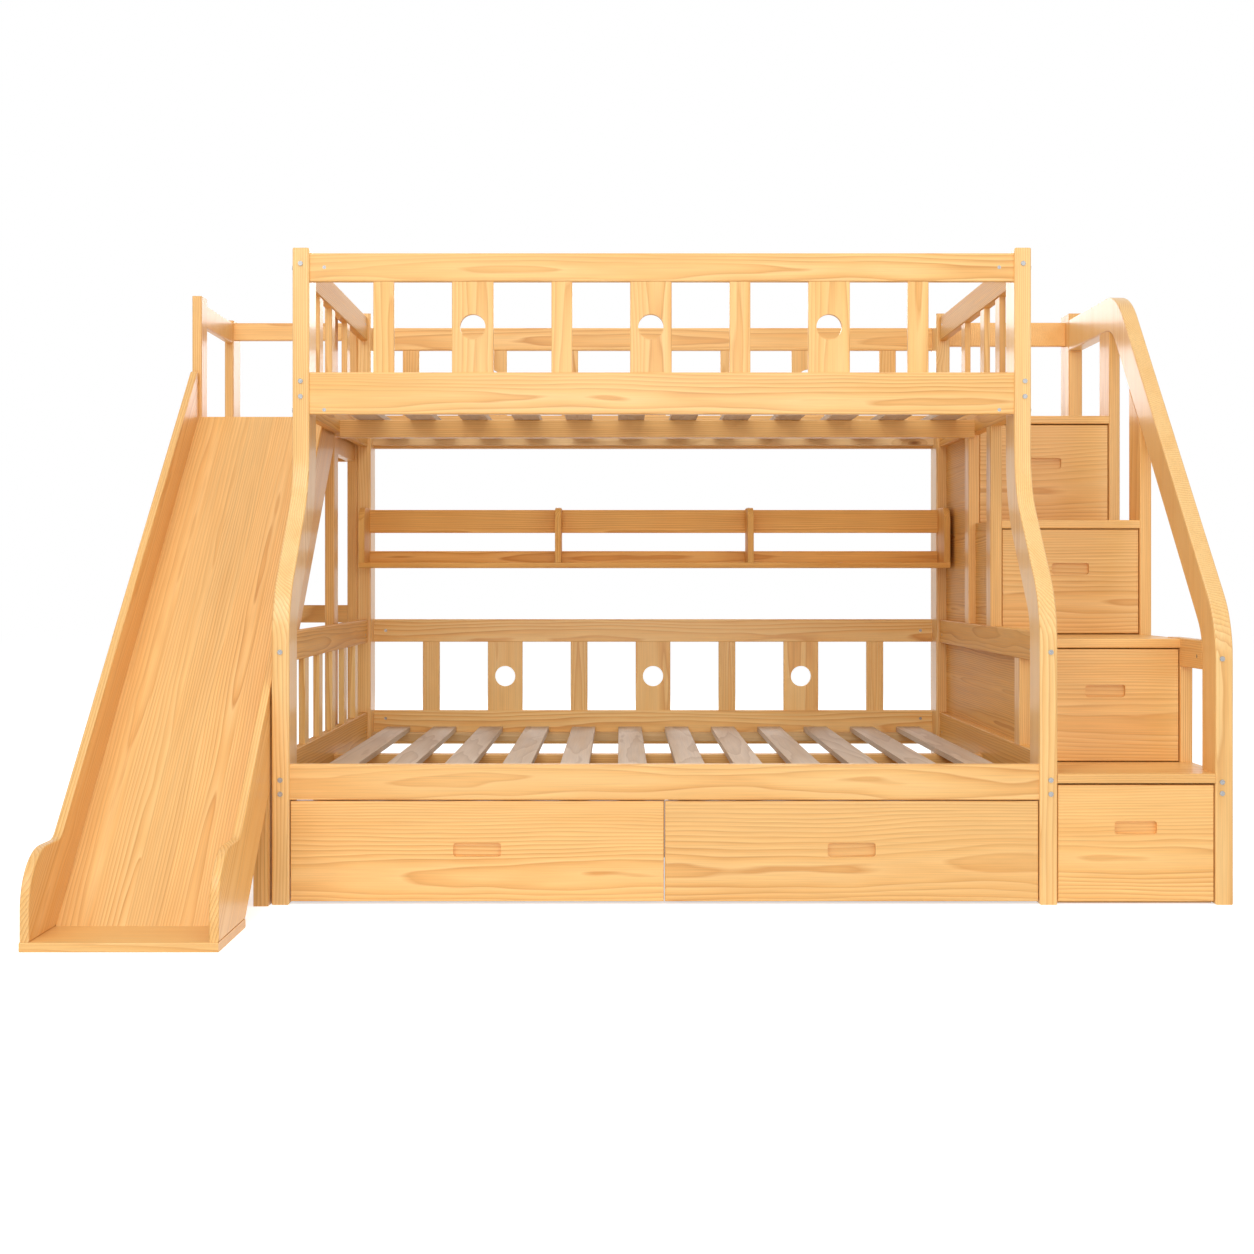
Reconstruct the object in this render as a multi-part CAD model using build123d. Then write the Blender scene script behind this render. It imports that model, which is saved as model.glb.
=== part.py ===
from build123d import *
import math
import os

os.makedirs("parts", exist_ok=True)

# Bunk bed with a drawer staircase on the right and a slide on the left, in mm.
# X runs along the bed, Y from the front to the wall, Z up from the floor.

# Bed plan
BED_INNER = 1930.0
POST_X = 46.0
POST_Y = 110.0
POST_TOP = 1745.0
REAR_FACE = 1560.0
UPPER_SET = 284.0
SETBACK = 7.0
RAIL = 25.0
REAR_SETBACK = 3.0
END_INNER = 976.0
END_LEFT = 25.0
END_RIGHT = 35.0

# Bends of the front posts and of the stair handrail
BEND_R = 250.0
BEND_DEG = 42.0
BEND_START = 677.0
HAND_BEND_START = 633.0
HAND_DEPTH = 105.0
HAND_TOP = 1723.0
HAND_LEVEL_FROM = 1007.0

# Lower bunk heights
LOW_RAIL_Z = 269.0
LOW_FRONT_H = 92.0
LOW_RAIL_H = 116.0
LOW_GUARD_Z = 622.0
LOW_GUARD_H = 78.0
LOW_SLAT_Z = 311.0
LEDGER = 30.0

# Upper bunk heights
UP_RAIL_Z = 1290.0
UP_RAIL_H = 115.0
UP_SLAT_Z = 1328.0
FRONT_GUARD_Z = 1654.0
GUARD_H = 78.0
REAR_GUARD_Z = 1630.0
GUARD_T = 22.0
END_GUARD_Z = 1652.0
END_GUARD_H = 80.0

# Slats
BASE_SLATS = 12
BASE_SLAT_W = 80.0
BASE_SLAT_T = 18.0
BASE_SLAT_PITCH = 160.0
SLAT_CLEAR = 2.0
GUARD_SLAT_T = 18.0
HOLE_D = 70.0

# Shelf
SHELF_FRONT = 1305.0
SHELF_BACK = 1450.0
SHELF_LAP = 20.0
SHELF_Z = 876.0
SHELF_T = 18.0
SHELF_LIP = 40.0
SHELF_RAIL_Z = 996.0
SHELF_RAIL_H = 78.0
BRACKET_OVER = 4.0
MID_BRACKET = 331.0
BRACKET_T = 20.0

# Drawers
GAP = 2.0
FRONT_T = 20.0
FRONT_SET = 6.0
UNDER_FRONT_Z0 = 8.0
UNDER_FRONT_Z1 = 266.0
UNDER_DEPTH = 700.0
UNDER_SIDE = 15.0
WHEEL_R = 22.0
WHEEL_W = 16.0
AXLE_R = 4.0
AXLE_CLEAR = 0.08
POCKET_DEPTH = 12.0
POCKET_R = 8.0

# Stairs
STAIR_IN = 1011.0
STAIR_OUT = 1417.0
OUTER_POST = 34.0
STEP_RISE = 337.5
TREAD_T = 25.0
BASE_T = 18.0
RUNNER_H = 4.0
SLIDE_CLEAR = 0.5
STEP_FRONTS = (0.0, 280.0, 646.0, 966.0)
STAIR_FRONT_Z = ((8.0, 308.0), (340.0, 647.0), (678.0, 985.0), (1015.0, 1322.0))
STAIR_POCKET_Z = (198.0, 532.0, 869.0, 1201.0)
STAIR_BOX_DEPTH = (560.0, 560.0, 560.0, 440.0)
STAIR_BOX_H = 250.0
STAIR_SIDE = 12.0
STAIR_BACK = 1450.0
PANEL_T = 12.0

# Slide and platform
SLIDE_LEFT = -1463.0
SLIDE_RIGHT = -1015.0
SLIDE_SIDE_T = 22.0
CHUTE_T = 18.0
FOOT_T = 22.0
CHUTE_LOW_Y = -380.0
PLATFORM_FRONT = 1002.0
DECK_Z = 1350.0
DECK_T = 20.0
PLAT_POST_X = 30.0
PLAT_POST_Y = 75.0

# Bolts and cross dowels
BOLT_D = 6.0
BOLT_HOLE = 6.4
HEAD_D = 13.0
HEAD_T = 3.0
DOWEL_D = 10.0
DOWEL_IN = 40.0

# Whole object, so that its box stands centred over the origin
X_MID = 0.0
Y_MID = 497.5

nodes = {}


def block(x0, x1, y0, y1, z0, z1):
    """A plain board between two corners."""
    solid = Box(x1 - x0, y1 - y0, z1 - z0)
    return solid.moved(Location(((x0 + x1) / 2, (y0 + y1) / 2, (z0 + z1) / 2)))


def board(x0, x1, y0, y1, z0, z1, axis, r=3.0):
    """A board whose four edges along the axis are rounded."""
    solid = block(x0, x1, y0, y1, z0, z1)
    return fillet(solid.edges().filter_by(axis), r)


def outline(points):
    """A face in the YZ plane from corners (y, z, radius)."""
    count = len(points)
    corners = []
    for i, (y, z, r) in enumerate(points):
        p = Vector(0, y, z)
        if r == 0:
            corners.append((p, None, p))
            continue
        before = points[i - 1]
        after = points[(i + 1) % count]
        u = (Vector(0, before[0], before[1]) - p).normalized()
        v = (Vector(0, after[0], after[1]) - p).normalized()
        half = math.acos(max(-1.0, min(1.0, u.dot(v)))) / 2
        reach = r / math.tan(half)
        centre = p + (u + v).normalized() * (r / math.sin(half))
        middle = centre + (p - centre).normalized() * r
        corners.append((p + u * reach, middle, p + v * reach))
    edges = []
    for i in range(count):
        start, middle, end = corners[i]
        if middle is not None:
            edges.append(Edge.make_three_point_arc(start, middle, end))
        follow = corners[(i + 1) % count][0]
        if (follow - end).length > 1e-6:
            edges.append(Edge.make_line(end, follow))
    return Face(Wire(edges))


def plate(points, x0, x1, r=0.0):
    """A board of outline shape between two X planes, its long edges rounded."""
    solid = extrude(outline(points), amount=x1 - x0, dir=(1, 0, 0))
    solid = solid.moved(Location((x0, 0, 0)))
    if r > 0:
        sides = solid.faces().filter_by(Axis.X)
        solid = fillet(sides.edges(), r)
    return solid


def rod_x(x0, x1, y, z, d):
    """A round bar along X."""
    solid = Cylinder(d / 2, x1 - x0, rotation=(0, 90, 0))
    return solid.moved(Location(((x0 + x1) / 2, y, z)))


def rod_y(x, y0, y1, z, d):
    """A round bar along Y."""
    solid = Cylinder(d / 2, y1 - y0, rotation=(90, 0, 0))
    return solid.moved(Location((x, (y0 + y1) / 2, z)))


def put(name, *solids):
    """Adds solids to a node."""
    found = nodes.setdefault(name, [])
    for solid in solids:
        found.extend(solid.solids())


def cut(name, tool):
    """Cuts a tool out of every solid of a node that it meets."""
    box = tool.bounding_box()
    kept = []
    for solid in nodes[name]:
        own = solid.bounding_box()
        apart = (
            box.min.X >= own.max.X or own.min.X >= box.max.X
            or box.min.Y >= own.max.Y or own.min.Y >= box.max.Y
            or box.min.Z >= own.max.Z or own.min.Z >= box.max.Z
        )
        if apart:
            kept.append(solid)
        else:
            kept.extend((solid - tool).solids())
    nodes[name] = kept


HALF = BED_INNER / 2
OUTER = HALF + POST_X
SHELF_HALF = HALF + SHELF_LAP
REAR_POST_Y = REAR_FACE - POST_Y
REAR_RAIL_Y1 = REAR_FACE - REAR_SETBACK
REAR_RAIL_Y0 = REAR_RAIL_Y1 - RAIL
LOW_FRONT_Y0 = SETBACK
LOW_FRONT_Y1 = SETBACK + RAIL
UP_FRONT_Y0 = UPPER_SET + SETBACK
UP_FRONT_Y1 = UP_FRONT_Y0 + RAIL

# Posts: the two front ones bend back between the bunks
turn = math.radians(BEND_DEG)
lean = 1 / math.tan(turn)


def bend(radius, angle):
    """Distance from the tangent point of a bend to its corner."""
    return radius * math.tan(angle / 2)


low_corner = BEND_START + bend(BEND_R, turn)
up_corner = low_corner + UPPER_SET * lean
inner_r = BEND_R - POST_Y
outer_r = BEND_R + POST_Y
low_inner = BEND_START + bend(inner_r, turn)
up_inner = low_inner + UPPER_SET * lean
post_points = [
    (0, 0, 0),
    (0, low_corner, BEND_R),
    (UPPER_SET, up_corner, BEND_R),
    (UPPER_SET, POST_TOP, 0),
    (UPPER_SET + POST_Y, POST_TOP, 0),
    (UPPER_SET + POST_Y, up_inner, outer_r),
    (POST_Y, low_inner, inner_r),
    (POST_Y, 0, 0),
]
put("front_post_left", plate(post_points, -OUTER, -HALF, 5.0))
put("front_post_right", plate(post_points, HALF, OUTER, 5.0))
put("rear_post_left", board(-OUTER, -HALF, REAR_POST_Y, REAR_FACE, 0, POST_TOP, Axis.Z, 5.0))
put("rear_post_right", board(HALF, OUTER, REAR_POST_Y, REAR_FACE, 0, POST_TOP, Axis.Z, 5.0))

# Lower bunk rails
put("lower_front_rail", board(
    -HALF, HALF, LOW_FRONT_Y0, LOW_FRONT_Y1, LOW_RAIL_Z, LOW_RAIL_Z + LOW_FRONT_H, Axis.X, 4.0))
low_top = LOW_RAIL_Z + LOW_RAIL_H
put("lower_rear_rail", board(-HALF, HALF, REAR_RAIL_Y0, REAR_RAIL_Y1, LOW_RAIL_Z, low_top, Axis.X))
put("lower_end_rail_left", board(
    -END_INNER - END_LEFT, -END_INNER, POST_Y, REAR_POST_Y, LOW_RAIL_Z, low_top, Axis.Y))
put("lower_end_rail_right", board(
    END_INNER, END_INNER + END_RIGHT, POST_Y, REAR_POST_Y, LOW_RAIL_Z, low_top, Axis.Y))

# Lower guards
guard_top = LOW_GUARD_Z + LOW_GUARD_H
put("lower_rear_guard_rail", board(
    -HALF, HALF, REAR_RAIL_Y0, REAR_RAIL_Y1, LOW_GUARD_Z, guard_top, Axis.X))
left_guard = board(
    -END_INNER - END_LEFT, -END_INNER, POST_Y, REAR_POST_Y, LOW_GUARD_Z, guard_top, Axis.Y)
right_guard = board(
    END_INNER, END_INNER + END_RIGHT, POST_Y, REAR_POST_Y, LOW_GUARD_Z, guard_top, Axis.Y)
put("lower_end_guard_rails", left_guard, right_guard)
cut("lower_end_guard_rails", plate(post_points, -OUTER, -HALF))
cut("lower_end_guard_rails", plate(post_points, HALF, OUTER))


def guard_slat_x(x, width, y0, z0, z1, hole_z=None):
    """An upright slat facing the front, with a round hole where it is wide."""
    solid = board(x - width / 2, x + width / 2, y0, y0 + GUARD_SLAT_T, z0, z1, Axis.Z)
    if hole_z is not None:
        solid = solid - rod_y(x, y0 - 1, y0 + GUARD_SLAT_T + 1, hole_z, HOLE_D)
    return solid


def guard_slat_y(x0, y, width, z0, z1):
    """An upright slat of an end guard."""
    return board(x0, x0 + GUARD_SLAT_T, y - width / 2, y + width / 2, z0, z1, Axis.Z)


rear_slat_y = (REAR_RAIL_Y0 + REAR_RAIL_Y1 - GUARD_SLAT_T) / 2
NARROW = 58.0
WIDE = 120.0
LOW_GUARD_GAP = 167.0
low_pitch = LOW_GUARD_GAP + (NARROW + WIDE) / 2
for k in range(-3, 4):
    wide = k % 2 == 0
    hole = 503.0 if wide else None
    put("lower_wide_slats" if wide else "lower_guard_slats", guard_slat_x(
        k * low_pitch, WIDE if wide else NARROW, rear_slat_y, low_top, LOW_GUARD_Z, hole))
END_SLATS = 5
end_pitch = (REAR_POST_Y - POST_Y) / (END_SLATS + 1)
for k in range(1, END_SLATS + 1):
    put("lower_guard_slats", guard_slat_y(
        -END_INNER - END_LEFT + 3.5, POST_Y + k * end_pitch, 60.0, low_top, LOW_GUARD_Z))

# Ledgers, slats and centre beams
put("slat_ledgers", block(
    -HALF, HALF, LOW_FRONT_Y1, LOW_FRONT_Y1 + LEDGER, LOW_SLAT_Z - LEDGER, LOW_SLAT_Z))
put("slat_ledgers", block(
    -HALF, HALF, REAR_RAIL_Y0 - LEDGER, REAR_RAIL_Y0, LOW_SLAT_Z - LEDGER, LOW_SLAT_Z))
put("slat_ledgers", block(-HALF, HALF, UP_FRONT_Y1, UP_FRONT_Y1 + LEDGER, 1300.0, UP_SLAT_Z))
put("slat_ledgers", block(-HALF, HALF, REAR_RAIL_Y0 - LEDGER, REAR_RAIL_Y0, 1300.0, UP_SLAT_Z))
slat_start = -BASE_SLAT_PITCH * (BASE_SLATS - 1) / 2
for k in range(BASE_SLATS):
    x = slat_start + k * BASE_SLAT_PITCH
    x0 = x - BASE_SLAT_W / 2
    x1 = x + BASE_SLAT_W / 2
    put("lower_slats", board(
        x0, x1, LOW_FRONT_Y1 + SLAT_CLEAR, REAR_RAIL_Y0 - SLAT_CLEAR,
        LOW_SLAT_Z, LOW_SLAT_Z + BASE_SLAT_T, Axis.Y, 2.0))
    put("upper_slats", board(
        x0, x1, UP_FRONT_Y1 + SLAT_CLEAR, REAR_RAIL_Y0 - SLAT_CLEAR,
        UP_SLAT_Z, UP_SLAT_Z + BASE_SLAT_T, Axis.Y, 2.0))
BEAM_Y = 780.0
put("center_beams", board(
    -END_INNER, END_INNER, BEAM_Y - 20, BEAM_Y + 20, 271.0, LOW_SLAT_Z, Axis.X))
put("center_beams", board(-20.0, 20.0, BEAM_Y - 20, BEAM_Y + 20, 0.0, 271.0, Axis.Z))
UP_BEAM_Y = 888.0
put("center_beams", board(
    -END_INNER, END_INNER, UP_BEAM_Y - 20, UP_BEAM_Y + 20, 1274.0, UP_SLAT_Z, Axis.X))

# Upper bunk rails
up_top = UP_RAIL_Z + UP_RAIL_H
put("upper_front_rail", board(-HALF, HALF, UP_FRONT_Y0, UP_FRONT_Y1, UP_RAIL_Z, up_top, Axis.X, 4.0))
put("upper_rear_rail", board(-HALF, HALF, REAR_RAIL_Y0, REAR_RAIL_Y1, UP_RAIL_Z, up_top, Axis.X))
up_post_rear = UPPER_SET + POST_Y
put("upper_end_rail_left", board(
    -END_INNER - END_LEFT, -END_INNER, up_post_rear, REAR_POST_Y, UP_RAIL_Z, up_top, Axis.Y))
put("upper_end_rail_right", board(
    END_INNER, END_INNER + END_RIGHT, up_post_rear, REAR_POST_Y, UP_RAIL_Z, up_top, Axis.Y))

# Upper guards
front_guard_y = UP_FRONT_Y0 + (RAIL - GUARD_T) / 2
rear_guard_y = REAR_RAIL_Y0 + (RAIL - GUARD_T) / 2
put("upper_front_guard_rail", board(
    -HALF, HALF, front_guard_y, front_guard_y + GUARD_T, FRONT_GUARD_Z, FRONT_GUARD_Z + GUARD_H,
    Axis.X, 4.0))
put("upper_rear_guard_rail", board(
    -HALF, HALF, rear_guard_y, rear_guard_y + GUARD_T, REAR_GUARD_Z, REAR_GUARD_Z + GUARD_H,
    Axis.X, 4.0))
UP_NARROW = 57.0
UP_WIDE = 114.0
for k in range(-3, 4):
    wide = k % 2 == 0
    width = UP_WIDE if wide else UP_NARROW
    hole = 1530.0 if wide else None
    name = "upper_wide_slats" if wide else "upper_guard_slats"
    put(name, guard_slat_x(
        -29.6 + k * 244.4, width, front_guard_y + 2, up_top, FRONT_GUARD_Z, hole))
    put(name, guard_slat_x(
        -13.0 + k * 275.0, width, rear_guard_y + 2, up_top, REAR_GUARD_Z, hole))
for side in (-1, 1):
    x0 = -END_INNER - END_LEFT if side < 0 else END_INNER
    put("upper_end_guard_rails", board(
        x0, x0 + END_LEFT, up_post_rear, REAR_POST_Y, END_GUARD_Z, END_GUARD_Z + END_GUARD_H,
        Axis.Y, 4.0))
    for near in (536.0, 746.0, 1034.0):
        put("upper_guard_slats", guard_slat_y(x0 + 3.5, near + 30.0, 60.0, up_top, END_GUARD_Z))

# Shelf between the rear posts
back_y = SHELF_BACK - SHELF_T
shelf_top = SHELF_Z + SHELF_T
bracket_top = SHELF_RAIL_Z + SHELF_RAIL_H + BRACKET_OVER
put("shelf_board", board(
    -SHELF_HALF, SHELF_HALF, SHELF_FRONT, SHELF_BACK, SHELF_Z, SHELF_Z + SHELF_T, Axis.X, 2.0))
put("shelf_board", board(
    -SHELF_HALF, SHELF_HALF, back_y, SHELF_BACK, shelf_top,
    shelf_top + SHELF_LIP, Axis.X, 2.0))
put("shelf_board", board(
    -SHELF_HALF, SHELF_HALF, back_y, SHELF_BACK, SHELF_RAIL_Z,
    SHELF_RAIL_Z + SHELF_RAIL_H, Axis.X, 2.0))
bracket = [
    (SHELF_FRONT, SHELF_Z + SHELF_T, 0),
    (SHELF_FRONT, bracket_top, 46.0),
    (back_y, bracket_top, 0),
    (back_y, SHELF_Z + SHELF_T, 0),
]
for x0 in (-SHELF_HALF, -MID_BRACKET, MID_BRACKET - BRACKET_T, SHELF_HALF - BRACKET_T):
    put("shelf_brackets", plate(bracket, x0, x0 + BRACKET_T, 2.0))


def drawer_front(x0, x1, y0, z0, z1, pocket_z, pocket_w, pocket_h):
    """A drawer front with a blind finger slot and softened front edges."""
    solid = block(x0, x1, y0, y0 + FRONT_T, z0, z1)
    solid = fillet(solid.faces().sort_by(Axis.Y)[0].edges(), 3.0)
    xm = (x0 + x1) / 2
    slot = block(
        xm - pocket_w / 2, xm + pocket_w / 2, y0 - 1, y0 + POCKET_DEPTH,
        pocket_z - pocket_h / 2, pocket_z + pocket_h / 2)
    slot = fillet(slot.edges().filter_by(Axis.Y), POCKET_R)
    return solid - slot


def drawer_box(name, x0, x1, y0, y1, z0, z1, wall, floor):
    """Two sides, a back and a bottom as separate boards."""
    put(name, block(x0, x0 + wall, y0, y1, z0, z1))
    put(name, block(x1 - wall, x1, y0, y1, z0, z1))
    put(name, block(x0 + wall, x1 - wall, y1 - wall, y1, z0, z1))
    put(name, block(x0 + wall, x1 - wall, y0, y1 - wall, z0, z0 + floor))


# Two rolling drawers under the lower bunk
front_y = FRONT_SET
box_y0 = FRONT_SET + FRONT_T
UNDER_BOX_Z0 = 50.0
UNDER_BOX_Z1 = 240.0
for side, name in ((-1, "left"), (1, "right")):
    inner = GAP / 2 + 0.5
    lo = min(side * inner, side * (HALF - GAP))
    hi = max(side * inner, side * (HALF - GAP))
    put("under_drawer_front_" + name, drawer_front(
        lo, hi, front_y, UNDER_FRONT_Z0, UNDER_FRONT_Z1, 141.0, 123.0, 36.0))
    bx0 = min(side * 30.0, side * 945.0)
    bx1 = max(side * 30.0, side * 945.0)
    box_name = "under_drawer_box_" + name
    drawer_box(
        box_name, bx0, bx1, box_y0, box_y0 + UNDER_DEPTH, UNDER_BOX_Z0, UNDER_BOX_Z1, UNDER_SIDE, 8.0)
    for row, wy in (("front", box_y0 + 70.0), ("rear", box_y0 + UNDER_DEPTH - 70.0)):
        for edge, way in ((bx0, 1), (bx1, -1)):
            b0 = min(edge, edge + way * 18.0)
            b1 = max(edge, edge + way * 18.0)
            hanger = block(b0, b1, wy - 25.0, wy + 25.0, 10.0, UNDER_BOX_Z0)
            hanger = hanger - rod_x(b0 - 1, b1 + 1, wy, WHEEL_R, 2 * (AXLE_R + AXLE_CLEAR))
            put(box_name, hanger)
            w0 = edge + way * 19.0
            w1 = w0 + way * WHEEL_W
            a0 = edge + way * 2.0
            wheel = rod_x(min(w0, w1), max(w0, w1), wy, WHEEL_R, 2 * WHEEL_R)
            wheel = fillet(wheel.edges().filter_by(GeomType.CIRCLE), 2.0)
            stub = rod_x(min(a0, w0), max(a0, w0), wy, WHEEL_R, 2 * AXLE_R)
            put("under_drawer_wheels_" + row + "_" + name, wheel + stub)

# Stair handrail with its front post
hand_low = HAND_BEND_START + bend(BEND_R, turn)
top_turn = math.pi / 2 - turn
hand_corner_y = HAND_LEVEL_FROM - bend(BEND_R, top_turn)
hand_slope = (HAND_TOP - hand_low) / hand_corner_y
drop = HAND_DEPTH * math.hypot(1, hand_slope)
hand_in_low = hand_low + hand_slope * HAND_DEPTH - drop
hand_in_y = (HAND_TOP - HAND_DEPTH - hand_low + drop) / hand_slope
hand_in_r = BEND_R - HAND_DEPTH
hand_points = [
    (0, 0, 0),
    (0, hand_low, BEND_R),
    (hand_corner_y, HAND_TOP, BEND_R),
    (REAR_POST_Y, HAND_TOP, 0),
    (REAR_POST_Y, HAND_TOP - HAND_DEPTH, 0),
    (hand_in_y, HAND_TOP - HAND_DEPTH, hand_in_r),
    (HAND_DEPTH, hand_in_low, hand_in_r),
    (HAND_DEPTH, 0, 0),
]
HAND_OUT = STAIR_OUT + POST_X
put("stair_handrail", plate(hand_points, STAIR_OUT, HAND_OUT, 5.0))

# Outer posts, cut to the underside of the handrail
OUT_POST_X1 = STAIR_OUT + OUTER_POST
rail_shape = plate(hand_points, STAIR_OUT - 1, HAND_OUT + 1)
for y0, top in ((STEP_FRONTS[1], 677.0), (STEP_FRONTS[2], 1420.0), (STEP_FRONTS[3], 1640.0)):
    put("stair_outer_posts", board(STAIR_OUT, OUT_POST_X1, y0, y0 + POST_Y, 0, top, Axis.Z))
put("stair_outer_posts", board(STAIR_OUT, HAND_OUT, REAR_POST_Y, REAR_FACE, 0, POST_TOP, Axis.Z, 5.0))
cut("stair_outer_posts", rail_shape)
put("stair_side_rails", board(
    STAIR_OUT, OUT_POST_X1, HAND_DEPTH, STEP_FRONTS[1], 600.0, 677.0, Axis.Y))
put("stair_side_rails", board(
    STAIR_OUT, OUT_POST_X1, HAND_DEPTH, STEP_FRONTS[1], 262.0, STEP_RISE, Axis.Y))
cut("stair_side_rails", rail_shape)
put("stair_side_rails", board(STAIR_IN, STAIR_OUT, 1505.0, 1527.0, 1640.0, 1722.0, Axis.X, 4.0))

# Inner stiles between the end rails
STILE = 34.0
STILE_Y = 60.0
stile_x = STAIR_IN - STILE
put("stair_inner_stiles", board(
    stile_x, STAIR_IN, STEP_FRONTS[1], STEP_FRONTS[1] + STILE_Y, low_top, LOW_GUARD_Z, Axis.Z))
put("stair_inner_stiles", board(
    stile_x, STAIR_IN, STEP_FRONTS[2], STEP_FRONTS[2] + STILE_Y, guard_top, UP_RAIL_Z, Axis.Z))
put("stair_inner_stiles", board(
    stile_x, STAIR_IN, STEP_FRONTS[3], STEP_FRONTS[3] + STILE_Y, guard_top, UP_RAIL_Z, Axis.Z))

# Panels of the staircase
px0 = STAIR_IN - PANEL_T
put("stair_panels", block(px0, STAIR_IN, POST_Y, REAR_POST_Y, 0.0, LOW_RAIL_Z))
put("stair_panels", block(px0, STAIR_IN, STEP_FRONTS[1] + STILE_Y, REAR_POST_Y, low_top, LOW_GUARD_Z))
put("stair_panels", block(
    px0, STAIR_IN, STEP_FRONTS[2] + STILE_Y, STEP_FRONTS[3], guard_top, 3 * STEP_RISE))
put("stair_panels", block(
    px0, STAIR_IN, STEP_FRONTS[3] + STILE_Y, REAR_POST_Y, guard_top, UP_RAIL_Z))
ox1 = STAIR_OUT + PANEL_T
put("stair_panels", block(STAIR_OUT, ox1, HAND_DEPTH, STEP_FRONTS[1], 0.0, 262.0))
put("stair_panels", block(STAIR_OUT, ox1, STEP_FRONTS[1] + POST_Y, STEP_FRONTS[2], 0.0, 2 * STEP_RISE))
put("stair_panels", block(STAIR_OUT, ox1, STEP_FRONTS[2] + POST_Y, STEP_FRONTS[3], 0.0, 3 * STEP_RISE))
put("stair_panels", block(STAIR_OUT, ox1, STEP_FRONTS[3] + POST_Y, REAR_POST_Y, 0.0, 4 * STEP_RISE))
put("stair_panels", block(
    STAIR_IN, STAIR_OUT, STAIR_BACK, STAIR_BACK + PANEL_T, 0.0, 4 * STEP_RISE - TREAD_T))

# Treads that carry the next drawer, and the base board
put("stair_treads", block(STAIR_IN, STAIR_OUT, box_y0 + 6, STAIR_BACK, 0.0, BASE_T))
for k, y0 in enumerate(STEP_FRONTS):
    top = (k + 1) * STEP_RISE
    back = STAIR_BACK if k < 3 else 1505.0
    tread = block(STAIR_IN, STAIR_OUT, y0, back, top - TREAD_T, top)
    nose = tread.faces().sort_by(Axis.Y)[0].edges().filter_by(Axis.X)
    put("stair_treads", fillet(nose, 4.0))

# Drawers of the staircase
for k, y0 in enumerate(STEP_FRONTS):
    z0, z1 = STAIR_FRONT_Z[k]
    put("stair_drawer_front_%d" % (k + 1), drawer_front(
        STAIR_IN + GAP, STAIR_OUT - GAP, y0 + FRONT_SET, z0, z1, STAIR_POCKET_Z[k], 109.0, 34.0))
    rest = BASE_T if k == 0 else k * STEP_RISE
    by0 = y0 + FRONT_SET + FRONT_T
    by1 = by0 + STAIR_BOX_DEPTH[k]
    for rx in (STAIR_IN + 12.0, STAIR_OUT - 32.0):
        put("stair_runners", block(rx, rx + 20.0, by0 + 10, by1, rest, rest + RUNNER_H))
    bz = rest + RUNNER_H + SLIDE_CLEAR
    drawer_box(
        "stair_drawer_box_%d" % (k + 1), STAIR_IN + 12.0, STAIR_OUT - 12.0, by0, by1,
        bz, bz + STAIR_BOX_H, STAIR_SIDE, 6.0)

# Slide
rise = (DECK_Z - FOOT_T) / (PLATFORM_FRONT - CHUTE_LOW_Y)
pitch = math.hypot(1, rise)


def chute_z(y):
    """Height of the sliding surface."""
    return FOOT_T + rise * (y - CHUTE_LOW_Y)


above = 117.0 * pitch
below = 65.0 * pitch
LOBE_TOP = 222.0
side_points = [
    (-565.0, FOOT_T, 0),
    (-565.0, LOBE_TOP, 130.0),
    (CHUTE_LOW_Y + (LOBE_TOP - FOOT_T - above) / rise, LOBE_TOP, 60.0),
    (PLATFORM_FRONT, chute_z(PLATFORM_FRONT) + above, 16.0),
    (PLATFORM_FRONT, chute_z(PLATFORM_FRONT) - below, 0),
    (CHUTE_LOW_Y + below / rise, FOOT_T, 0),
]
put("slide_side_left", plate(side_points, SLIDE_LEFT, SLIDE_LEFT + SLIDE_SIDE_T, 4.0))
put("slide_side_right", plate(side_points, SLIDE_RIGHT - SLIDE_SIDE_T, SLIDE_RIGHT, 4.0))
CHUTE_X0 = SLIDE_LEFT + SLIDE_SIDE_T
CHUTE_X1 = SLIDE_RIGHT - SLIDE_SIDE_T
under = CHUTE_T * pitch
chute_points = [
    (CHUTE_LOW_Y, FOOT_T, 0),
    (PLATFORM_FRONT, DECK_Z, 0),
    (PLATFORM_FRONT, DECK_Z - under, 0),
    (CHUTE_LOW_Y + under / rise, FOOT_T, 0),
]
put("slide_chute", plate(chute_points, CHUTE_X0, CHUTE_X1))
put("slide_foot_board", board(SLIDE_LEFT, SLIDE_RIGHT, -568.0, -286.0, 0.0, FOOT_T, Axis.X, 4.0))
LEG_Y = -20.0
LEG_W = 38.0
leg_points = [
    (LEG_Y, 0, 0),
    (LEG_Y, chute_z(LEG_Y) - below, 0),
    (LEG_Y + PLAT_POST_Y, chute_z(LEG_Y + PLAT_POST_Y) - below, 0),
    (LEG_Y + PLAT_POST_Y, 0, 0),
]
put("slide_supports", plate(leg_points, SLIDE_LEFT, SLIDE_LEFT + LEG_W))
put("slide_supports", plate(leg_points, SLIDE_RIGHT - LEG_W, SLIDE_RIGHT))
put("slide_supports", block(SLIDE_LEFT + LEG_W, SLIDE_RIGHT - LEG_W, 5.0, 30.0, 100.0, 160.0))
for y in (-150.0, 180.0, 510.0, 840.0):
    z = chute_z(y) - under
    batten = [
        (y, z, 0),
        (y + 40.0 / pitch, z + 40.0 * rise / pitch, 0),
        (y + 40.0 / pitch + 24.0 * rise / pitch, z + 40.0 * rise / pitch - 24.0 / pitch, 0),
        (y + 24.0 * rise / pitch, z - 24.0 / pitch, 0),
    ]
    put("slide_supports", plate(batten, CHUTE_X0, CHUTE_X1))

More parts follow.
